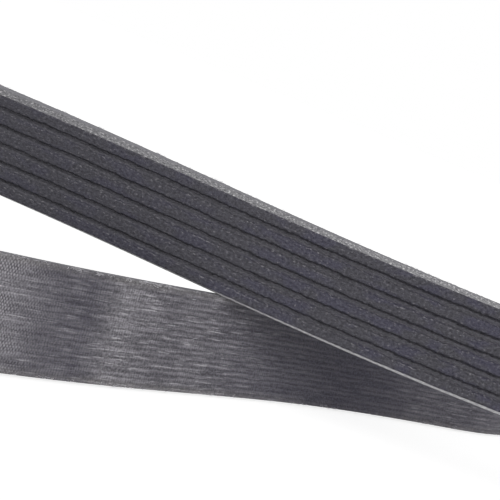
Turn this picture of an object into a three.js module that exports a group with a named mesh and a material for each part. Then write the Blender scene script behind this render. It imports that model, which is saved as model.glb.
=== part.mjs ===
// Six-rib serpentine belt, modelled in millimetres with +Z up, as one closed band of rubber.
// The band lies on the floor in a figure of eight and stands on its cut edges. Where its two strands
// cross, one rides on top of the other. The ribs face inwards round both loops, so each strand of the
// large loop carries half a turn of twist, as a belt does when it is folded over from a plain ring.
import * as THREE from "three";

// Cross-section: standard ribs at 3.56 mm pitch, cut from a wide sleeve along the groove middles
const ribCount = 6;
const ribPitch = 3.56;
const thickness = 4.5; // back face to rib tips
const ribHeight = 1.8; // groove floor to rib tips
const grooveAngle = 40; // degrees between the two flanks of a groove
const grooveFloor = 0.2; // flat at the bottom of a groove
const backBevel = 0.25; // worn corner between the back and a cut edge
const lowerCutTrim = 0.3; // how far the lower cut lies inside its groove's middle
const ribbedWidth = ribCount * ribPitch;

// Plan of the figure of eight, with its crossing at the origin and its long axis along X
const crossHalfAngle = 24.9; // degrees between the long axis and a strand
const smallRadius = 45; // middle of the band round the small loop
const largeRadius = 142; // middle of the band round the large loop
const bowAmount = 2.6; // how far the lower strand swings off its straight line
const bowLength = 200; // one whole swing of the lower strand
const bowFade = 40; // length over which the swing fades in from each loop

// Lean of the band's top edge towards its ribs, in degrees
const smallLoopLean = 8;
const upperLean = 4.9; // upper strand at the crossing
const upperLeanRate = -5.2; // change over upperLeanLength of the upper strand, along its travel
const upperLeanLength = 50;
const lowerLean = 8.3; // lower strand at the crossing
const leanSpan = 62; // from the crossing, the length over which those leans hold
const lowerLeanSpan = 112; // the same, for the lower strand on the large loop's side

// Half turn of twist in each strand of the large loop, measured from the crossing
const halfTurn = 180;
const upperTwistStart = 60;
const lowerTwistStart = 114;
const twistEnd = 300;
const twistSoftShare = 0.25; // share of that length over which the twist starts, and again stops

// The upper strand is carried over the lower one
const ridingGap = 0.28; // added to the band's width for its lift, which keeps the strands apart
const levelSpan = 54; // either side of the crossing, the length that stays level
const riseLength = 74; // from the floor up to the level length, on the small loop's side
const fallLength = 190; // from the level length down to the floor, on the large loop's side
const edgeBow = 1; // half the height of the shallow wave that the upper strand runs in
const edgeBowLength = 200; // one whole wave
const edgeBowLowest = 39.5; // distance of its lowest point from the crossing

// Length of one segment of the band
const strandStep = 12;
const twistStep = 7;
const smallArcStep = 6; // degrees
const largeArcStep = 5; // degrees

const rad = THREE.MathUtils.degToRad;
const clamp = THREE.MathUtils.clamp;
const mix = THREE.MathUtils.lerp;
const ease = (x, low, high) => THREE.MathUtils.smootherstep(x, low, high);

// Even rise from 0 to 1 between low and high, with a soft start and a soft stop
function steadyRise(x, low, high) {
  const soft = twistSoftShare;
  const t = clamp((x - low) / (high - low), 0, 1);
  const nearEnd = Math.min(t, 1 - t);
  const risen = nearEnd < soft ? (nearEnd * nearEnd) / (2 * soft) : nearEnd - soft / 2;
  const share = risen / (1 - soft);
  return t < 1 / 2 ? share : 1 - share;
}

// Cross-section outline as [across, through] pairs: across runs from the lower cut edge to the upper
// one, and through runs from the back face to the rib tips. Both are zero at the middle of the section.
function sectionOutline() {
  const halfWidth = ribbedWidth / 2;
  const lowerCut = -halfWidth + lowerCutTrim;
  const back = -thickness / 2;
  const floor = thickness / 2 - ribHeight;
  const tip = thickness / 2;
  const flankRun = ribHeight * Math.tan(rad(grooveAngle / 2));
  const outline = [
    [lowerCut + backBevel, back],
    [lowerCut, back + backBevel],
    [lowerCut, floor],
  ];
  for (let rib = 0; rib < ribCount; rib += 1) {
    const start = -halfWidth + rib * ribPitch;
    const end = start + ribPitch;
    const inset = grooveFloor / 2 + flankRun;
    const trim = rib > 0 ? 0 : lowerCutTrim;
    if (rib > 0) outline.push([start + grooveFloor / 2, floor]);
    outline.push([start + inset + trim, tip]);
    outline.push([end - inset, tip]);
    if (rib < ribCount - 1) outline.push([end - grooveFloor / 2, floor]);
  }
  outline.push([halfWidth, floor]);
  outline.push([halfWidth, back + backBevel]);
  outline.push([halfWidth - backBevel, back]);
  return outline;
}

const beta = rad(crossHalfAngle);
const smallStrand = smallRadius / Math.tan(beta);
const largeStrand = largeRadius / Math.tan(beta);
const arcTurn = Math.PI + 2 * beta;

// Sideways swing of the lower strand at distance u from the crossing, positive towards the large loop
function bowAt(u) {
  const fadeIn = ease(u, -smallStrand, -smallStrand + bowFade);
  const fadeOut = 1 - ease(u, bowLength / 2, bowLength / 2 + bowFade);
  return bowAmount * Math.sin((2 * Math.PI * u) / bowLength) * fadeIn * fadeOut;
}

// Lean plus twist of the upper strand, u along its travel from the small loop to the large one
function upperTurn(u) {
  const held = upperLean + (upperLeanRate * clamp(u, -leanSpan, leanSpan)) / upperLeanLength;
  const fromLoop = ease(u, -smallStrand, -leanSpan);
  return mix(smallLoopLean, held, fromLoop) * (1 - ease(u, leanSpan, twistEnd))
    + halfTurn * steadyRise(u, upperTwistStart, twistEnd);
}

// Lean plus twist of the lower strand, u from the crossing towards the large loop. The band travels
// the other way here, so its half turn counts downwards from the crossing.
function lowerTurn(u) {
  const fromLoop = ease(u, -smallStrand, -leanSpan);
  return mix(smallLoopLean, lowerLean, fromLoop) * (1 - ease(u, lowerLeanSpan, twistEnd))
    - halfTurn * steadyRise(u, lowerTwistStart, twistEnd);
}

// Height of the shallow wave above its lowest point
function edgeBowAt(u) {
  return edgeBow * (1 - Math.cos((2 * Math.PI * (u - edgeBowLowest)) / edgeBowLength));
}

// Height that the upper strand is lifted by: the wave is counted from its height at the crossing
function upperLift(u) {
  const top = ribbedWidth - lowerCutTrim + ridingGap + edgeBowAt(u) - edgeBowAt(0);
  const rise = ease(u, -levelSpan - riseLength, -levelSpan);
  const fall = 1 - ease(u, levelSpan, levelSpan + fallLength);
  return top * Math.min(rise, fall);
}

// Stations along the whole band: plan position, lean or twist in degrees, and lift
function strandLengths(from, to) {
  const marks = [from];
  let u = from;
  while (u < to) {
    const twisting = u >= upperTwistStart - strandStep && u < twistEnd;
    u += twisting ? twistStep : strandStep;
    if (u < to - twistStep / 2) marks.push(u);
  }
  marks.push(to);
  return marks;
}

function arcStations(radius, centreX, startAngle, turn, step, lean, liftAt) {
  const count = Math.ceil(Math.abs(turn) / rad(step));
  const made = [];
  for (let i = 1; i < count; i += 1) {
    const angle = startAngle + (turn * i) / count;
    const travelled = (radius * Math.abs(turn) * i) / count;
    made.push({
      x: centreX + radius * Math.cos(angle),
      y: radius * Math.sin(angle),
      turn: lean,
      lift: liftAt(travelled),
    });
  }
  return made;
}

function stations() {
  const made = [];
  for (const u of strandLengths(-smallStrand, largeStrand)) {
    made.push({
      x: u * Math.cos(beta),
      y: -u * Math.sin(beta),
      turn: upperTurn(u),
      lift: upperLift(u),
    });
  }
  const largeCentre = largeRadius / Math.sin(beta);
  const largeFrom = -Math.PI / 2 - beta;
  made.push(...arcStations(largeRadius, largeCentre, largeFrom, arcTurn, largeArcStep, halfTurn,
    () => 0));
  for (const u of strandLengths(-smallStrand, largeStrand).reverse()) {
    const bow = bowAt(u);
    made.push({
      x: u * Math.cos(beta) - bow * Math.sin(beta),
      y: u * Math.sin(beta) + bow * Math.cos(beta),
      turn: lowerTurn(u),
      lift: 0,
    });
  }
  const smallCentre = -smallRadius / Math.sin(beta);
  const smallFrom = -Math.PI / 2 + beta;
  const smallArc = smallRadius * arcTurn;
  made.push(...arcStations(smallRadius, smallCentre, smallFrom, -arcTurn, smallArcStep,
    smallLoopLean, (travelled) => upperLift(travelled - smallArc - smallStrand)));
  return made;
}

// Sweeps the outline along the stations and closes the band on itself
function beltGeometry() {
  const outline = sectionOutline();
  const path = stations();
  const count = path.length;
  const size = outline.length;
  const up = new THREE.Vector3(0, 0, 1);
  const positions = [];
  path.forEach((here, i) => {
    const before = path[(i + count - 1) % count];
    const after = path[(i + 1) % count];
    const travel = new THREE.Vector3(after.x - before.x, after.y - before.y, 0).normalize();
    const right = new THREE.Vector3().crossVectors(travel, up);
    const turn = rad(here.turn);
    const across = up.clone().multiplyScalar(Math.cos(turn)).addScaledVector(right, Math.sin(turn));
    const through = right.clone().multiplyScalar(Math.cos(turn)).addScaledVector(up, -Math.sin(turn));
    const corners = outline.map(([w, t]) => new THREE.Vector3()
      .addScaledVector(across, w)
      .addScaledVector(through, t));
    const lowest = Math.min(...corners.map((corner) => corner.z));
    const centre = new THREE.Vector3(here.x, here.y, here.lift - lowest);
    corners.forEach((corner) => positions.push(...corner.add(centre).toArray()));
  });
  const index = [];
  for (let i = 0; i < count; i += 1) {
    const next = (i + 1) % count;
    for (let j = 0; j < size; j += 1) {
      const k = (j + 1) % size;
      index.push(i * size + j, next * size + k, i * size + k);
      index.push(i * size + j, next * size + j, next * size + k);
    }
  }
  const geometry = new THREE.BufferGeometry();
  geometry.setAttribute("position", new THREE.Float32BufferAttribute(positions, 3));
  geometry.setIndex(index);
  geometry.computeVertexNormals();
  return geometry;
}

const geometry = beltGeometry();
geometry.computeBoundingBox();
const middle = geometry.boundingBox.getCenter(new THREE.Vector3());
geometry.translate(-middle.x, -middle.y, -geometry.boundingBox.min.z);

const rubber = new THREE.MeshStandardMaterial({ color: 0x3b3b40, roughness: 0.75, metalness: 0 });
const belt = new THREE.Mesh(geometry, rubber);
belt.name = "ribbed_belt";

const group = new THREE.Group();
group.name = "serpentine_belt";
group.add(belt);

export default group;
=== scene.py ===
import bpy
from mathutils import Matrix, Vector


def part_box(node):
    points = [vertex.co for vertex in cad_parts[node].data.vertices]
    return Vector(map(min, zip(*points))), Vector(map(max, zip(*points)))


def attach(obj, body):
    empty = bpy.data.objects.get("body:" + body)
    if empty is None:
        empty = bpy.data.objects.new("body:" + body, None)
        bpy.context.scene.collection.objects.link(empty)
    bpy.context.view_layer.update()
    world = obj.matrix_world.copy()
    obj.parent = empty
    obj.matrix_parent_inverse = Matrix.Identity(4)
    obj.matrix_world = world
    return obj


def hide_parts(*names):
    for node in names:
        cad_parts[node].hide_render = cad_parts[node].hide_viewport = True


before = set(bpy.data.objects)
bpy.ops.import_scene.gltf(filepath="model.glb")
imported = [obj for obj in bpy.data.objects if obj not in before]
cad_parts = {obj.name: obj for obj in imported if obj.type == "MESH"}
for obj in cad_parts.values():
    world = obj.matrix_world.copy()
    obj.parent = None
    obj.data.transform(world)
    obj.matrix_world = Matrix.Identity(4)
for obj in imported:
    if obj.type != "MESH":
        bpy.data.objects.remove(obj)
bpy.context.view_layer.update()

import bpy
import numpy as np
from mathutils import Matrix

# The belt
# Chloroprene rubber moulded over cords and a woven back, then ground to six ribs and cut from a wide sleeve.
# It is one closed band that stands on its cut edges in a figure of eight, one strand riding on the other. The
# ribs face inwards round both loops, with half a turn of twist in each strand of the large one.
MM = 0.001
RIB_COUNT, RIB_PITCH, RIB_HEIGHT = 6, 3.56, 1.8
THICKNESS = 4.5
LOWER_TRIM = 0.3
GROOVE_FLOOR = 0.2
FLANK_SLOPE = np.tan(np.radians(20))
HALF_WIDTH = RIB_COUNT * RIB_PITCH / 2
BACK, TIP = -THICKNESS / 2, THICKNESS / 2
FLOOR_LEVEL = TIP - RIB_HEIGHT
TIP_INSET = GROOVE_FLOOR / 2 + RIB_HEIGHT * FLANK_SLOPE
BACK_BEVEL = 0.25

# Plan of the figure of eight, in millimetres and degrees, with distances measured from the crossing. Both
# strands lean a little and make half a turn towards the large loop. The upper one rides on the lower one,
# runs in a shallow wave there and comes down to the floor on either side.
CROSSING = np.radians(24.9)
SMALL_RADIUS, LARGE_RADIUS = 45.0, 142.0
SMALL_STRAND, LARGE_STRAND = SMALL_RADIUS / np.tan(CROSSING), LARGE_RADIUS / np.tan(CROSSING)
SMALL_ARC = SMALL_RADIUS * (np.pi + 2 * CROSSING)
SWING, SWING_LENGTH, SWING_FADE = 2.6, 200, 40
LOOP_LEAN, UPPER_LEAN, LOWER_LEAN = 8, 4.9, 8.3
LEAN_RATE, LEAN_RATE_LENGTH, LEAN_SPAN, LOWER_LEAN_SPAN = -5.2, 50, 62, 112
HALF_TURN, UPPER_TWIST_FROM, LOWER_TWIST_FROM, TWIST_TO = 180, 60, 114, 300
RIDING_GAP, LEVEL_SPAN, RISE, FALL = 0.28, 54, 74, 190
WAVE_LENGTH, WAVE_LOWEST = 200, 39.5
FINE_SPAN, FINE_STEP, WIDE_STEP = 75.0, 0.5, 2.3


def ease(x, low, high):
    """Rises from 0 to 1 between low and high: six times the fifth power, less fifteen times the fourth, plus
    ten times the cube."""
    t = np.clip((x - low) / (high - low), 0, 1)
    return t**3 * (10 - 15 * t + 6 * t**2)


def steady_rise(x, low, high, soft=0.25):
    """Rises from 0 to 1, as a square over the first and the last quarter of the way and straight between."""
    t = np.clip((x - low) / (high - low), 0, 1)
    near = np.minimum(t, 1 - t)
    share = np.where(near < soft, near**2 / (2 * soft), near - soft / 2) / (1 - soft)
    return np.where(t < 0.5, share, 1 - share)


def strand_marks():
    """Distances from the crossing along a strand, in short steps close to it and longer ones further off."""
    fine = np.arange(-FINE_SPAN, FINE_SPAN, FINE_STEP)
    before = np.linspace(-SMALL_STRAND, -FINE_SPAN, int((SMALL_STRAND - FINE_SPAN) / WIDE_STEP) + 2)[:-1]
    after = np.linspace(FINE_SPAN, LARGE_STRAND, int((LARGE_STRAND - FINE_SPAN) / WIDE_STEP) + 2)
    return np.concatenate([before, fine, after])


def wave(u):
    """Height of the shallow wave that the upper strand runs in: one less the cosine of the distance."""
    return 1 - np.cos(2 * np.pi * (u - WAVE_LOWEST) / WAVE_LENGTH)


def lift(u):
    """How far the upper strand is carried up: the lower one's width, a gap and the wave, eased in and out."""
    riding = 2 * HALF_WIDTH - LOWER_TRIM + RIDING_GAP + wave(u) - wave(0)
    fallen = ease(u, LEVEL_SPAN, LEVEL_SPAN + FALL)
    return riding * np.minimum(ease(u, -LEVEL_SPAN - RISE, -LEVEL_SPAN), 1 - fallen)


def arc_stations(radius, centre_x, first_angle, angle_turned, lean, lift_at):
    """Stations on a circle that touches both strands: cosine and sine of an angle that goes round evenly."""
    arc = radius * abs(angle_turned)
    t = np.linspace(0, 1, int(arc / WIDE_STEP) + 1)[1:-1]
    angle = first_angle + angle_turned * t
    return np.c_[centre_x + radius * np.cos(angle), radius * np.sin(angle), lean + 0 * t, lift_at(arc * t)]


def belt_path():
    """Plan position, turn and lift at every station: strand, arc, strand and arc. A strand is a straight line
    at the crossing angle, the lower one with one sine wave of swing."""
    u = strand_marks()
    settled = ease(u, -SMALL_STRAND, -LEAN_SPAN)
    held = UPPER_LEAN + LEAN_RATE * np.clip(u, -LEAN_SPAN, LEAN_SPAN) / LEAN_RATE_LENGTH
    upper_lean = (LOOP_LEAN + (held - LOOP_LEAN) * settled) * (1 - ease(u, LEAN_SPAN, TWIST_TO))
    lower_lean = (LOOP_LEAN + (LOWER_LEAN - LOOP_LEAN) * settled) * (1 - ease(u, LOWER_LEAN_SPAN, TWIST_TO))
    upper_turn = upper_lean + HALF_TURN * steady_rise(u, UPPER_TWIST_FROM, TWIST_TO)
    lower_turn = lower_lean - HALF_TURN * steady_rise(u, LOWER_TWIST_FROM, TWIST_TO)
    swing = SWING * np.sin(2 * np.pi * u / SWING_LENGTH) * ease(u, -SMALL_STRAND, SWING_FADE - SMALL_STRAND)
    swing *= 1 - ease(u, SWING_LENGTH / 2, SWING_LENGTH / 2 + SWING_FADE)
    cosine, sine, round_loop = np.cos(CROSSING), np.sin(CROSSING), np.pi + 2 * CROSSING
    upper = np.c_[u * cosine, -u * sine, upper_turn, lift(u)]
    lower = np.c_[u * cosine - swing * sine, u * sine + swing * cosine, lower_turn, 0 * u][::-1]
    large = arc_stations(LARGE_RADIUS, LARGE_RADIUS / sine, -np.pi / 2 - CROSSING, round_loop, HALF_TURN,
                         lambda gone: 0 * gone)
    small = arc_stations(SMALL_RADIUS, -SMALL_RADIUS / sine, -np.pi / 2 + CROSSING, -round_loop, LOOP_LEAN,
                         lambda gone: lift(gone - SMALL_ARC - SMALL_STRAND))
    return np.concatenate([upper, large, lower, small])


path = belt_path()
UP = np.array([0.0, 0.0, 1.0])
travel = np.roll(path[:, :2], -1, 0) - np.roll(path[:, :2], 1, 0)
travel = np.c_[travel / np.linalg.norm(travel, axis=1)[:, None], 0 * path[:, 0]]
right = np.c_[travel[:, 1], -travel[:, 0], 0 * path[:, 0]]
turn = np.radians(path[:, 2])[:, None]
across_way = np.cos(turn) * UP + np.sin(turn) * right
through_way = np.cos(turn) * right - np.sin(turn) * UP
edge_corners = np.array([(side * (HALF_WIDTH - trim - inward), t)
                         for side, trim in ((-1, LOWER_TRIM), (1, 0))
                         for inward, t in ((BACK_BEVEL, BACK), (0, BACK + BACK_BEVEL), (0, FLOOR_LEVEL),
                                           (TIP_INSET, TIP))])
lowest = (np.cos(turn) * edge_corners[:, 0] - np.sin(turn) * edge_corners[:, 1]).min(1)
large_loop_reach = LARGE_RADIUS / np.sin(CROSSING) + LARGE_RADIUS + THICKNESS / 2
crossing_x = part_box("ribbed_belt")[1][0] / MM - large_loop_reach
centre = np.c_[path[:, 0] + crossing_x, path[:, 1], path[:, 3] - lowest]
along = np.concatenate([[0], np.cumsum(np.linalg.norm(np.roll(centre, -1, 0) - centre, axis=1))])
belt_length = along[-1]
rng = np.random.default_rng(11)


def wander(positions, channels, shortest, longest, waves=26):
    """Smooth random lines round the belt, each about 1 high: sums of sines with whole numbers of waves."""
    cycles = np.round(belt_length / np.geomspace(shortest, longest, waves) * rng.uniform(0.9, 1.1, waves))
    phase = rng.uniform(0, 2 * np.pi, (waves, channels))
    angle = 2 * np.pi * positions[:, None, None] / belt_length * cycles[None, :, None] + phase[None]
    return np.sin(angle).sum(1) / np.sqrt(waves / 2)


RIB, CUT_EDGE, CLOTH, RAW_FLANK = range(4)
NOT_A_RIB = -1


def belt_profile():
    """Outline of the section, row by row: across, through, the rib side that the point wanders with, the face
    that follows it, and the rim that it is near, 1 for a rib's upper rim and -1 for its lower one. A rib is a
    flat tip, two narrow bevels and two flanks 20 degrees off square."""
    corner, rim_fade, foot_width, foot_height = 0.05, 0.35, 0.10, 0.22
    cut_marks, back_marks, corner_angles = 5, 7, np.radians([22.5, 45, 67.5])
    lower_cut = -HALF_WIDTH + LOWER_TRIM
    cut_height = FLOOR_LEVEL - BACK - BACK_BEVEL
    back_width = 2 * HALF_WIDTH - LOWER_TRIM - 2 * BACK_BEVEL
    rounded = [(BACK_BEVEL * (1 - np.sin(a)), BACK_BEVEL * (1 - np.cos(a))) for a in corner_angles]
    rows = [(lower_cut, BACK + BACK_BEVEL + share * cut_height, NOT_A_RIB, CUT_EDGE, 0)
            for share in np.linspace(0, 1, cut_marks)[:-1]]
    for rib in range(RIB_COUNT):
        start, end = -HALF_WIDTH + rib * RIB_PITCH, -HALF_WIDTH + (rib + 1) * RIB_PITCH
        first, last = rib == 0, rib == RIB_COUNT - 1
        for side, base, way, raw in ((2 * rib, lower_cut if first else start, 1, first),
                                     (2 * rib + 1, end, -1, last)):
            foot = 0.0 if raw else GROOVE_FLOOR / 2
            inward = np.array([foot, foot + foot_width, TIP_INSET - FLANK_SLOPE * corner, TIP_INSET + corner,
                               TIP_INSET + corner + rim_fade])[::way]
            height = np.array([FLOOR_LEVEL, FLOOR_LEVEL + foot_height, TIP - corner, TIP, TIP])[::way]
            near = -way * np.array([1, 1, 1, 1, 0])[::way]
            faces = [RIB] * 5
            if raw and first:
                faces = [RAW_FLANK, RAW_FLANK, RIB, RIB, RIB]
            elif raw:
                faces = [RIB, RIB, RAW_FLANK, RAW_FLANK, CUT_EDGE]
            rows += [(base + way * w, t, side, face, close)
                     for w, t, face, close in zip(inward, height, faces, near)]
    rows += [(HALF_WIDTH, FLOOR_LEVEL - share * cut_height, NOT_A_RIB, CUT_EDGE if share < 1 else CLOTH, 0)
             for share in np.linspace(0, 1, cut_marks)[1:]]
    rows += [(HALF_WIDTH - w, BACK + t, NOT_A_RIB, CLOTH, 0) for t, w in rounded]
    rows += [(HALF_WIDTH - BACK_BEVEL - share * back_width, BACK, NOT_A_RIB, CLOTH, 0)
             for share in np.linspace(0, 1, back_marks)]
    rows += [(lower_cut + w, BACK + t, NOT_A_RIB, CLOTH, 0) for w, t in rounded]
    return np.array(rows)


# The section is carried along the path: centre plus the across and the through of each of its points. The
# grinding leaves every rib side a little uneven, less so on the two outer ones, and the tips a little wavy.
# Waves are given by their shortest and longest length in millimetres, and their number where it isn't 26.
SLOW_WAVES, QUICK_WAVES, DIP_WAVES = (2.4, 24), (1.2, 2.4, 9), (3, 40)
SLOW_UNEVENNESS, QUICK_UNEVENNESS, OUTER_SHARE, DIP_DEPTH, DIPPED_ABOVE = 0.045, 0.04, 0.3, 0.02, 0.3
profile = belt_profile()
stations, points = len(path), len(profile)
sides = profile[:, 2].astype(int)
rib_sides = 2 * RIB_COUNT
uneven = wander(along[:-1], rib_sides, *SLOW_WAVES) * SLOW_UNEVENNESS
uneven += wander(along[:-1], rib_sides, *QUICK_WAVES) * QUICK_UNEVENNESS
uneven[:, [0, -1]] *= OUTER_SHARE
uneven = np.c_[uneven, np.zeros(stations)][:, sides]
dips = np.c_[wander(along[:-1], rib_sides, *DIP_WAVES) * DIP_DEPTH, np.zeros(stations)][:, sides]
across = profile[None, :, 0] + uneven * (profile[None, :, 3] == RIB)
through = profile[None, :, 1] + dips * (profile[None, :, 1] > FLOOR_LEVEL + DIPPED_ABOVE)
position = (centre[:, None] + across[..., None] * across_way[:, None]
            + through[..., None] * through_way[:, None])
position[..., 2] = np.maximum(position[..., 2], 0)

SHARP_FROM = np.radians(24)
i, j = np.meshgrid(np.arange(stations), np.arange(points), indexing="ij")
i_next, j_next = (i + 1) % stations, (j + 1) % points
quads = np.stack([i * points + j, i_next * points + j, i_next * points + j_next, i * points + j_next], -1)
quads = quads.reshape(-1, 4)
belt_mesh = bpy.data.meshes.new("ribbed_band")
belt_mesh.from_pydata(position.reshape(-1, 3) * MM, [], quads)
outline_steps = np.linalg.norm(np.roll(profile[:, :2], -1, 0) - profile[:, :2], axis=1)
outline_length = np.concatenate([[0], np.cumsum(outline_steps)])
length_at = np.stack([along[i], along[i + 1], along[i + 1], along[i]], -1)
around_at = np.stack([outline_length[j], outline_length[j], outline_length[j + 1], outline_length[j + 1]], -1)
band_uv = belt_mesh.uv_layers.new(name="length_and_width")
band_uv.data.foreach_set("uv", np.stack([length_at, around_at], -1).astype(np.float32).ravel() * MM)
belt_mesh.polygons.foreach_set("material_index", profile[j, 3].astype(np.int32).ravel())
belt_mesh.polygons.foreach_set("use_smooth", np.ones(len(quads), bool))
belt_mesh.set_sharp_from_angle(angle=SHARP_FROM)

# Wear along the belt, from 0 to 1: rubbed down to the bare weave in one place, scuffed pale in others, and
# with the cords under the cloth showing through. Near the crossing it goes by marks, each a distance from the
# crossing and an amount, and the bare place ends in a bell curve. There the scuff marks also carry painted
# shading: painted shadow on the lower strand where the upper one shades it, and painted light that makes the
# upper strand's ribs paler towards the small loop and darker towards the large one. Elsewhere it wanders
# about a usual amount.
MARKED_REACH = 130
USUALLY_RUBBED, RUBBED_SWING, RUBBED_WAVES = 0.15, 0.35, (90, 400, 5)
USUALLY_SCUFFED, SCUFFED_SWING, SCUFFED_WAVES = 0.6, 0.3, (60, 300, 5)
USUALLY_CORDED = 0.5
BARE_UP_TO, BARE_FADE = -62, 13
lower_end = along[stations - int(SMALL_ARC / WIDE_STEP)]
lower_u, upper_u = lower_end - SMALL_STRAND - along[:-1], along[:-1] - SMALL_STRAND
on_lower, on_upper = np.abs(lower_u) < MARKED_REACH, np.abs(upper_u) < MARKED_REACH
rubbed = np.clip(USUALLY_RUBBED + RUBBED_SWING * wander(along[:-1], 1, *RUBBED_WAVES)[:, 0], 0, 1)
rubbed = np.where(on_lower, np.exp(-np.clip((lower_u - BARE_UP_TO) / BARE_FADE, 0, None) ** 2), rubbed)
scuff_and_painted_shading = np.clip(USUALLY_SCUFFED + SCUFFED_SWING * wander(along[:-1], 1, *SCUFFED_WAVES)[:, 0], 0, 1)
# Painted shading: the lower strand's marks drop where the upper strand shades it, and the upper strand's
# marks fall off along its ribs to even out the light there.
lower_scuffs_and_shadow = np.array([(-62, 1), (-46, 0.5), (-36, 0.38), (-28, 0.9), (-13, 0.68), (0, 0.7), (23, 0.37),
                         (54, 0.14), (72, 0.2), (87, 0.42), (130, 0.5)])
upper_scuffs_and_shading = np.array([(-62, 0.6), (0, 0.3), (62, 0), (130, 0.4)])
lower_cords = np.array([(-62, 0.45), (-25, 0.65), (-5, 0.9), (130, 0.6)])
scuff_and_painted_shading = np.where(on_lower, np.interp(lower_u, *lower_scuffs_and_shadow.T), scuff_and_painted_shading)
scuff_and_painted_shading = np.where(on_upper, np.interp(upper_u, *upper_scuffs_and_shading.T), scuff_and_painted_shading)
corded = np.where(on_lower, np.interp(lower_u, *lower_cords.T), USUALLY_CORDED)
MARGIN_WIDTH = 3.5
from_border = np.minimum(HALF_WIDTH - profile[:, 0], profile[:, 0] + HALF_WIDTH - LOWER_TRIM)
margin = np.clip(1 - from_border / MARGIN_WIDTH, 0, 1)
depth_in_groove = np.clip((TIP - profile[:, 1]) / RIB_HEIGHT, 0, 1)
for name, values in (("rubbed_bare", np.repeat(rubbed, points)),
                     ("scuff_and_painted_shading", np.repeat(scuff_and_painted_shading, points)),
                     ("cords_showing", np.repeat(corded, points)),
                     ("groove_depth", np.tile(depth_in_groove, stations)),
                     ("near_groove", np.tile(profile[:, 4], stations)),
                     ("lower_side", np.tile(profile[:, 0] < 0, stations)),
                     ("back_margin", np.tile(margin, stations))):
    belt_mesh.attributes.new(name, "FLOAT", "POINT").data.foreach_set("value", values.astype(np.float32))
belt_mesh.update()


def colour(code):
    """Linear colour of an sRGB hex code: a part over 12.92 below the toe, and a power of 2.4 above it."""
    share = np.array([int(code[k:k + 2], 16) for k in (1, 3, 5)]) / 255
    return (*np.where(share <= 0.04045, share / 12.92, ((share + 0.055) / 1.055) ** 2.4), 1.0)


def add(tree, kind, inputs=(), **settings):
    """Adds a node. settings are its own properties, and inputs gives an input a number, the hex code of a
    colour, or the output of another node."""
    node = tree.nodes.new(kind)
    for name, value in settings.items():
        setattr(node, name, value)
    for name, value in dict(inputs).items():
        if isinstance(value, bpy.types.NodeSocket):
            tree.links.new(value, node.inputs[name])
        else:
            node.inputs[name].default_value = colour(value) if isinstance(value, str) else value
    return node


def bare_material(name):
    """A material of this name with no nodes yet."""
    material = bpy.data.materials.new(name)
    material.use_nodes = True
    material.node_tree.nodes.clear()
    return material, material.node_tree


def grain(tree, size_mm, span, detail, roughness, seed):
    """Grains of a real length along the belt and width across it, in millimetres: noise, whose values over
    the span are stretched to 0 to 1."""
    band = add(tree, "ShaderNodeUVMap", uv_map="length_and_width").outputs["UV"]
    grains_per_metre = (1 / (size_mm[0] * MM), 1 / (size_mm[1] * MM), 1)
    placed = add(tree, "ShaderNodeMapping", {"Vector": band, "Location": (seed, seed, 0),
                                             "Scale": grains_per_metre}).outputs["Vector"]
    noise = add(tree, "ShaderNodeTexNoise", {"Vector": placed, "Scale": 1.0, "Detail": detail,
                                             "Roughness": roughness}).outputs["Fac"]
    return add(tree, "ShaderNodeMapRange", {"Value": noise, "From Min": span[0],
                                            "From Max": span[1]}).outputs["Result"]


def measured(tree, name, low=0.0, high=1.0):
    """One of the measures kept on the band's points, with low to high stretched to 0 to 1."""
    kept = add(tree, "ShaderNodeAttribute", attribute_name=name).outputs["Fac"]
    return add(tree, "ShaderNodeMapRange", {"Value": kept, "From Min": low,
                                            "From Max": high}).outputs["Result"]


def coated(tree, base, *coats):
    """Lays colours over a base, one after another. A coat is some patterns and shares, whose product is its
    amount, and a colour: the colour times the amount, plus what lies below times one less the amount. A Mix
    node's inputs 6 and 7 and output 2 are its two colours and the mixed one."""
    for *shares, over in coats:
        amount = shares[0]
        for share in shares[1:]:
            amount = add(tree, "ShaderNodeMath", {0: amount, 1: share}, operation="MULTIPLY").outputs[0]
        base = add(tree, "ShaderNodeMix", {0: amount, 6: base, 7: over}, data_type="RGBA").outputs[2]
    return base


def surfaced(tree, base, height, strength, depth_mm, **sockets):
    """Ends a material: a colour, a bump of some depth, and the finish that the sockets name."""
    bump = add(tree, "ShaderNodeBump", {"Strength": strength, "Distance": depth_mm * MM, "Height": height})
    finish = {name.replace("_", " "): value for name, value in sockets.items()}
    shader = add(tree, "ShaderNodeBsdfPrincipled",
                 {"Base Color": base, "Normal": bump.outputs["Normal"], **finish})
    add(tree, "ShaderNodeOutputMaterial", {"Surface": shader.outputs["BSDF"]})


# Ground rubber of the ribs: matt charcoal with bluish patches of bloom, a fine grinding grit, and cut fibres
# of the filling that show as pale specks, more of them along a rib's upper rim. Its lower rim is darker in
# patches. Deeper in a groove the rubber is painted paler, painted light against the shade there, and where
# the scuff measure is high it is paler, which near the crossing is painted light along the upper strand.
# Grinding grit is finer than a pixel of the picture, and is drawn at 0.65 mm so that it shows.
ground_rubber, tree = bare_material("ground_chloroprene_rubber")
bloom = grain(tree, (8, 4), (0.47, 0.60), 2, 0.5, 0)
grit = grain(tree, (0.65, 0.48), (0.34, 0.66), 4, 0.8, 3)
rubber = coated(tree, "#464549", (bloom, "#413f55"), (measured(tree, "scuff_and_painted_shading"), "#515057"))
rubber = coated(tree, coated(tree, rubber, (0.6, "#28272b")), (grit, coated(tree, rubber, (0.5, "#72717a"))))
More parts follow.
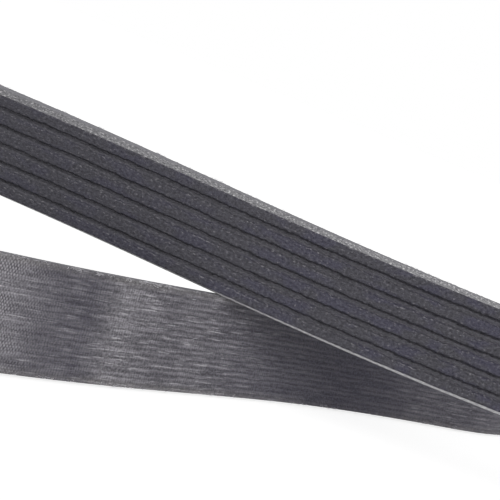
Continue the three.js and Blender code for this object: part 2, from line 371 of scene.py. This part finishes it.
# Painted light: a paler colour deep in the grooves, against their shade.
groove_painted_light = coated(tree, "#6d6c72", (grit, "#a4a3aa"))
upper_rim, lower_rim = measured(tree, "near_groove", 0, 1), measured(tree, "near_groove", 0, -1)
rubber = coated(tree, rubber,
                (measured(tree, "groove_depth", 0.2, 1.0), 0.8, groove_painted_light),
                (grain(tree, (0.65, 0.45), (0.53, 0.67), 3, 0.6, 7), 0.45, "#7b797f"),
                (grain(tree, (0.65, 0.45), (0.65, 0.75), 3, 0.6, 7), 0.8, "#a19fa4"),
                (upper_rim, grain(tree, (0.8, 0.45), (0.56, 0.68), 3, 0.6, 57), "#98969b"),
                (lower_rim, grain(tree, (0.8, 0.4), (0.48, 0.58), 3, 0.7, 21), 0.85, "#27262b"))
surfaced(tree, rubber, grit, 0.35, 0.06, Specular_IOR_Level=0.12, Roughness=0.8)

# Raw cut edge: a knife leaves the rubber matt and pale grey, a little streaked along the cut.
raw_edge, tree = bare_material("knife_cut_chloroprene_rubber")
torn = grain(tree, (1.2, 0.5), (0.35, 0.68), 4, 0.7, 2)
edge = coated(tree, "#7e7d82",
              (torn, "#a3a2a7"),
              (grain(tree, (0.6, 0.4), (0.66, 0.76), 2, 0.5, 9), "#c9c8cb"))
surfaced(tree, edge, torn, 0.4, 0.08, Specular_IOR_Level=0.25, Roughness=0.85)

# Outer flank: the same knife went through the fibre-filled rubber of a groove, so torn white fibres stand
# among dark pits, and lint gathers in beads on the lower flank. That flank faces down to the white sheet and
# is also painted near white, as painted bounce light from the sheet. The flank is painted darker where the
# scuff measure is high, which near the crossing is painted shading.
torn_flank, tree = bare_material("knife_torn_fibre_filled_rubber")
torn = grain(tree, (0.6, 0.45), (0.32, 0.66), 4, 0.75, 12)
# Painted bounce light with lint beads, on the flank that faces the sheet.
lint_and_bounce_light = coated(tree, "#c6c4c9", (grain(tree, (0.9, 0.6), (0.42, 0.60), 3, 0.6, 23), "#ffffff"))
flank = coated(tree, "#57565b",
               (torn, "#c3c2c5"),
               (grain(tree, (0.55, 0.4), (0.56, 0.66), 2, 0.5, 19), "#f8f7f8"),
               (measured(tree, "scuff_and_painted_shading"), 0.75, "#4a494e"),
               (measured(tree, "lower_side"), lint_and_bounce_light))
surfaced(tree, flank, torn, 0.7, 0.15, Specular_IOR_Level=0.25, Roughness=0.85)

# Woven back: rubber-dipped wide-angle cloth whose threads cross at 116 degrees. It is rubbed bare in patches,
# and elsewhere the cords under it and the pulleys have left it streaked and scuffed lengthwise, with the
# cross threads showing through as a fine comb. Where it is less scuffed it is dark and bluish, and near the
# crossing that dark is also painted shadow, where the upper strand shades the lower one.
KNOT_ALONG, KNOT_ACROSS, CORD_SPACING = 0.68, 1.1, 1.15
KNOT_SHAKE_ALONG, KNOT_SHAKE_ACROSS, COMB_SHAKE, CORD_SHAKE = 9.0, 7.0, 6.0, 3.0
woven_back, tree = bare_material("rubber_dipped_wide_angle_weave")
band = add(tree, "ShaderNodeUVMap", uv_map="length_and_width").outputs["UV"]
apart = add(tree, "ShaderNodeSeparateXYZ", {0: band})
shaken = grain(tree, (5, 3), (0, 1), 2, 0.5, 4)


def threads(tree, direction, spacing_mm, shake):
    """Sine of the distance along (X) or across (Y) the belt, one wave per spacing, shaken by noise."""
    waves = add(tree, "ShaderNodeMath", {0: apart.outputs[direction], 1: 2 * np.pi / (spacing_mm * MM)},
                operation="MULTIPLY").outputs[0]
    moved = add(tree, "ShaderNodeMath", {0: shaken, 1: shake, 2: waves}, operation="MULTIPLY_ADD").outputs[0]
    return add(tree, "ShaderNodeMath", {0: moved}, operation="SINE").outputs[0]


knots = add(tree, "ShaderNodeMath", {0: threads(tree, "X", KNOT_ALONG, KNOT_SHAKE_ALONG),
                                     1: threads(tree, "Y", KNOT_ACROSS, KNOT_SHAKE_ACROSS)},
            operation="MULTIPLY").outputs[0]
raised_knots = add(tree, "ShaderNodeMapRange", {"Value": knots, "From Min": -0.1,
                                                "From Max": 0.8}).outputs["Result"]
comb = add(tree, "ShaderNodeMapRange", {"Value": threads(tree, "X", KNOT_ALONG, COMB_SHAKE),
                                        "From Min": -0.4, "From Max": 0.9}).outputs["Result"]
between_cords = add(tree, "ShaderNodeMapRange", {"Value": threads(tree, "Y", CORD_SPACING, CORD_SHAKE),
                                                 "From Min": -0.6, "From Max": 1.0,
                                                 "To Max": 0.85}).outputs["Result"]
lengthwise = grain(tree, (5.0, 0.5), (0.35, 0.65), 5, 0.8, 6)
scratches = grain(tree, (7.0, 0.40), (0.56, 0.67), 4, 0.6, 8)
crosswise = grain(tree, (0.42, 1.4), (0.36, 0.64), 2, 0.6, 16)
half_crosswise = add(tree, "ShaderNodeMapRange", {"Value": crosswise, "To Min": 0.5}).outputs["Result"]
patches = add(tree, "ShaderNodeMapRange", {"Value": grain(tree, (6, 4), (0.40, 0.58), 2, 0.5, 36),
                                           "To Min": 0.3, "To Max": 0.95}).outputs["Result"]
worn, unworn_and_shadowed = measured(tree, "scuff_and_painted_shading", 0, 1), measured(tree, "scuff_and_painted_shading", 1, 0)
knotted = coated(tree, "#4a474d", (raised_knots, "#d4d0d6"))
speckled = coated(tree, "#4d4b4c", (grain(tree, (0.7, 0.5), (0.36, 0.64), 3, 0.7, 66), "#a3a09f"))
# One noise gives the small knots, from its high values, and the gaps between them, from its low ones.
fine_knots = grain(tree, (0.62, 0.5), (0.47, 0.60), 2, 0.6, 76)
fine_gaps = grain(tree, (0.62, 0.5), (0.53, 0.40), 2, 0.6, 76)
cloth = coated(tree, "#201e23",
               (lengthwise, "#8a878e"),
               (grain(tree, (30, 1.7), (0.36, 0.62), 2, 0.5, 26), 0.5, "#89868c"),
               (lengthwise, crosswise, 0.85, "#b6b3b9"),
               (comb, grain(tree, (6, 3.5), (0.42, 0.58), 2, 0.5, 56), lengthwise, 0.9, "#c4c1c7"),
               (grain(tree, (14, 1.5), (0.46, 0.62), 3, 0.6, 46), 0.6, "#302e35"),
               (between_cords, measured(tree, "cords_showing"), "#2f2d32"),
               (scratches, half_crosswise, measured(tree, "scuff_and_painted_shading", 0.1, 0.6), "#e8e5ea"),
               (measured(tree, "rubbed_bare"), patches, knotted),
               (worn, 0.1, "#c9c6cc"),
               (worn, fine_knots, 0.20, "#dcd9df"),
               (worn, fine_gaps, 0.22, "#29272d"),
               # Painted shadow: dark where the scuff measure is low, which near the crossing is where the
               # upper strand shades the lower one.
               (unworn_and_shadowed, 0.88, "#2b2937"),
               (unworn_and_shadowed, fine_knots, 0.5, "#636070"),
               (measured(tree, "back_margin", 0.55, 0.85), worn, 0.6, speckled))
height = add(tree, "ShaderNodeMath", {0: knots, 1: 0.5, 2: lengthwise}, operation="MULTIPLY_ADD").outputs[0]
surfaced(tree, cloth, height, 0.4, 0.08, Specular_IOR_Level=0.25, Roughness=0.75, Sheen_Weight=0.15,
         Sheen_Roughness=0.4)

for material in (ground_rubber, raw_edge, woven_back, torn_flank):
    belt_mesh.materials.append(material)
belt = bpy.data.objects.new("ribbed_band", belt_mesh)
bpy.context.collection.objects.link(belt)
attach(belt, "root")
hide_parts("ribbed_belt")

# Loose fibres
# The knife frays the cloth, so short pale polyester fibres stand and lie in tufts along the margins of the
# back, most of them on the upper one. Each is a thin three-sided thread that bends over. Sizes are in
# millimetres, and a spread is the shape and the scale of a gamma distribution.
FIBRES, FIBRE_RINGS, FIBRE_SIDES, FIBRE_RADIUS, TIP_TAPER = 11000, 4, 3, 0.045, 0.6
PLACES_TRIED, TUFT_WAVES, ON_UPPER_MARGIN = 4, (3, 60, 14), 0.75
INSET_SPREAD, LENGTH_SPREAD, LONGEST = (1.2, 0.16), (2.2, 0.26), 0.8
LEAN_OUT, STANDS_OFF, RISES, BENDS_BACK = (-0.3, 0.6), (0, 0.125), 1.6, 0.9
SUNK_IN, ABOVE_FLOOR = 0.02, 0.05
place = rng.uniform(0, belt_length, (PLACES_TRIED, FIBRES))
tufted = wander(place.ravel(), 1, *TUFT_WAVES)[:, 0].reshape(PLACES_TRIED, FIBRES)
place = place[tufted.argmax(0), np.arange(FIBRES)]
station = np.searchsorted(along, place) - 1
upper = np.where(rng.uniform(size=FIBRES) < ON_UPPER_MARGIN, 1, -1)
inset = rng.gamma(*INSET_SPREAD, FIBRES)
at_edge = HALF_WIDTH - np.where(upper > 0, 0, LOWER_TRIM) - inset
sunk = BACK + np.clip(BACK_BEVEL - inset, 0, None)**2 / BACK_BEVEL - SUNK_IN
root = (centre[station] + (upper * at_edge)[:, None] * across_way[station]
        + sunk[:, None] * through_way[station] + travel[station] * (place - along[station])[:, None])
outward = upper[:, None] * across_way[station]
sideways = -through_way[station] * rng.uniform(*STANDS_OFF, FIBRES)[:, None]
length = np.minimum(rng.gamma(*LENGTH_SPREAD, FIBRES), LONGEST)[:, None]
lean_out = rng.uniform(*LEAN_OUT, FIBRES)[:, None]
heading = travel[station] * rng.choice([-1, 1], FIBRES)[:, None]

# A fibre runs along the belt, off it in a straight line, and outwards by a parabola: the share of its length
# times a rise, less the square of that share times a bend. It thins towards its tip.
ring_share = np.linspace(0, 1, FIBRE_RINGS)[None, :, None]
spine = (root[:, None] + heading[:, None] * length[:, None] * ring_share
         + outward[:, None] * (length * lean_out)[:, None] * (RISES * ring_share - BENDS_BACK * ring_share**2)
         + sideways[:, None] * length[:, None] * ring_share)
radius = FIBRE_RADIUS * (1 - TIP_TAPER * ring_share[..., None])
spoke = 2 * np.pi * np.arange(FIBRE_SIDES) / FIBRE_SIDES
rim = (np.cos(spoke)[None, None, :, None] * across_way[station][:, None, None]
       + np.sin(spoke)[None, None, :, None] * through_way[station][:, None, None])
threads_at = (spine[:, :, None] + radius * rim) * MM
threads_at[..., 2] = np.maximum(threads_at[..., 2], ABOVE_FLOOR * MM)
f, r, k = np.meshgrid(np.arange(FIBRES), np.arange(FIBRE_RINGS - 1), np.arange(FIBRE_SIDES), indexing="ij")
ring = (f * FIBRE_RINGS + r) * FIBRE_SIDES
ring_next, k_next = ring + FIBRE_SIDES, (k + 1) % FIBRE_SIDES
fibre_quads = np.stack([ring + k, ring + k_next, ring_next + k_next, ring_next + k], -1).reshape(-1, 4)
fibre_mesh = bpy.data.meshes.new("edge_fibres")
fibre_mesh.from_pydata(threads_at.reshape(-1, 3), [], fibre_quads)
fibre_mesh.polygons.foreach_set("use_smooth", np.ones(len(fibre_quads), bool))
fibre_mesh.update()

# Polyester: bright, nearly white, with some fibres greyer than others.
polyester, tree = bare_material("frayed_polyester")
object_place = add(tree, "ShaderNodeTexCoord").outputs["Object"]
SHADE_SIZE = 1.1
shade = add(tree, "ShaderNodeTexNoise", {"Vector": object_place, "Scale": 1 / (SHADE_SIZE * MM),
                                         "Detail": 1.0}).outputs["Fac"]
shader = add(tree, "ShaderNodeBsdfPrincipled",
             {"Base Color": coated(tree, "#b9b7bc", (shade, "#efedf1")), "Roughness": 0.8})
add(tree, "ShaderNodeOutputMaterial", {"Surface": shader.outputs["BSDF"]})
fibre_mesh.materials.append(polyester)
fibres = bpy.data.objects.new("edge_fibres", fibre_mesh)
bpy.context.collection.objects.link(fibres)
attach(fibres, "root")

# White surface
# The belt lies on a white sheet that runs out of sight in a white room. Both look white where the camera, a
# mirror or glass sees them, and light the belt at a plain level.
SHEET_REACH, SHEET_LEVEL, SHEET_GLOW = 3, -0.3 * MM, 0.78
ROOM_LIGHT, ROOM_SEEN = 0.26, 1.0
sheet_mesh = bpy.data.meshes.new("white_sheet")
sheet_corners = [(x * SHEET_REACH, y * SHEET_REACH, SHEET_LEVEL)
                 for x, y in ((-1, -1), (1, -1), (1, 1), (-1, 1))]
sheet_mesh.from_pydata(sheet_corners, [], [(0, 1, 2, 3)])


def seen_straight(tree):
    """1 for the rays of the camera, of mirrors and of glass, and 0 for the rest: the largest of the three."""
    rays = add(tree, "ShaderNodeLightPath").outputs
    seen = add(tree, "ShaderNodeMath", {0: rays["Is Camera Ray"], 1: rays["Is Glossy Ray"]},
               operation="MAXIMUM").outputs[0]
    return add(tree, "ShaderNodeMath", {0: seen, 1: rays["Is Transmission Ray"]},
               operation="MAXIMUM").outputs[0]


white_sheet, tree = bare_material("matt_white_paper")
seen = seen_straight(tree)
matt = add(tree, "ShaderNodeBsdfDiffuse", {"Color": coated(tree, "#ececec", (seen, "#bcbcbc"))})
level = add(tree, "ShaderNodeMath", {0: seen, 1: SHEET_GLOW}, operation="MULTIPLY").outputs[0]
glow = add(tree, "ShaderNodeEmission", {"Color": "#ffffff", "Strength": level})
surface = add(tree, "ShaderNodeAddShader", {0: matt.outputs[0], 1: glow.outputs[0]})
add(tree, "ShaderNodeOutputMaterial", {"Surface": surface.outputs[0]})
sheet_mesh.materials.append(white_sheet)
sheet = bpy.data.objects.new("white_sheet", sheet_mesh)
bpy.context.collection.objects.link(sheet)

room = bpy.data.worlds.new("white_room")
bpy.context.scene.world = room
room.use_nodes = True
tree = room.node_tree
tree.nodes.clear()
soft = add(tree, "ShaderNodeBackground", {"Color": "#ffffff", "Strength": ROOM_LIGHT})
white = add(tree, "ShaderNodeBackground", {"Color": "#ffffff", "Strength": ROOM_SEEN})
mixed = add(tree, "ShaderNodeMixShader", {0: seen_straight(tree), 1: soft.outputs[0], 2: white.outputs[0]})
add(tree, "ShaderNodeOutputWorld", {"Surface": mixed.outputs[0]})

# Camera
# It looks across the upper strand from a little above, close by and rolled, so that the strand runs down to
# the right through the middle of the frame.
PICTURE_SIZE, PX_PER_MM, FILM_WIDTH = 500, 4.90, 36
DISTANCE, CAMERA_RISE, CAMERA_ROLL = 300.0, np.radians(7.12), np.radians(22.74)
AIM_ALONG, AIM_ABOVE = 3.08, 11.02
strand_way = np.array([np.cos(CROSSING), -np.sin(CROSSING), 0])
away = np.array([np.sin(CROSSING), np.cos(CROSSING), 0])
aim_height = 2 * HALF_WIDTH - LOWER_TRIM + RIDING_GAP + AIM_ABOVE
target = np.array([crossing_x, 0, aim_height]) + AIM_ALONG * strand_way
back_way = UP * np.sin(CAMERA_RISE) - away * np.cos(CAMERA_RISE)
tall = away * np.sin(CAMERA_RISE) + UP * np.cos(CAMERA_RISE)
image_right = np.cos(CAMERA_ROLL) * strand_way + np.sin(CAMERA_ROLL) * tall
image_up = np.cos(CAMERA_ROLL) * tall - np.sin(CAMERA_ROLL) * strand_way
camera_data = bpy.data.cameras.new("camera")
camera_data.sensor_width = FILM_WIDTH
camera_data.lens = PX_PER_MM * DISTANCE / PICTURE_SIZE * FILM_WIDTH
camera_data.clip_start, camera_data.clip_end = 0.01, 20
camera = bpy.data.objects.new("camera", camera_data)
bpy.context.collection.objects.link(camera)
pose = np.eye(4)
pose[:3, :3] = np.c_[image_right, image_up, back_way]
pose[:3, 3] = (target + DISTANCE * back_way) * MM
camera.matrix_world = Matrix(pose)
bpy.context.scene.camera = camera


# Lamps
# A wide soft studio light comes from in front, above and a little to the right, and shades the grooves. A
# fainter and wider one from overhead fills the cut edges.
def sunlight(name, towards, soft_degrees, level):
    """A distant lamp whose light comes from a direction given as strand, away and up. Level 1 lights a matt
    surface that faces it to its own colour, which takes a strength of pi."""
    lamp = bpy.data.lights.new(name, "SUN")
    lamp.angle, lamp.energy = np.radians(soft_degrees), np.pi * level
    made = bpy.data.objects.new(name, lamp)
    bpy.context.collection.objects.link(made)
    facing = towards[0] * strand_way + towards[1] * away + towards[2] * UP
    facing /= np.linalg.norm(facing)
    side = np.cross((1.0, 0.0, 0.0), facing)
    side /= np.linalg.norm(side)
    turned = np.eye(4)
    turned[:3, :3] = np.c_[side, np.cross(facing, side), facing]
    turned[:3, 3] = facing
    made.matrix_world = Matrix(turned)


sunlight("key_front_above", (0.26, -1.0, 0.52), 40, 0.52)
sunlight("soft_overhead", (0.0, 0.1, 1.0), 80, 0.10)

bpy.context.scene.view_settings.view_transform = "Standard"
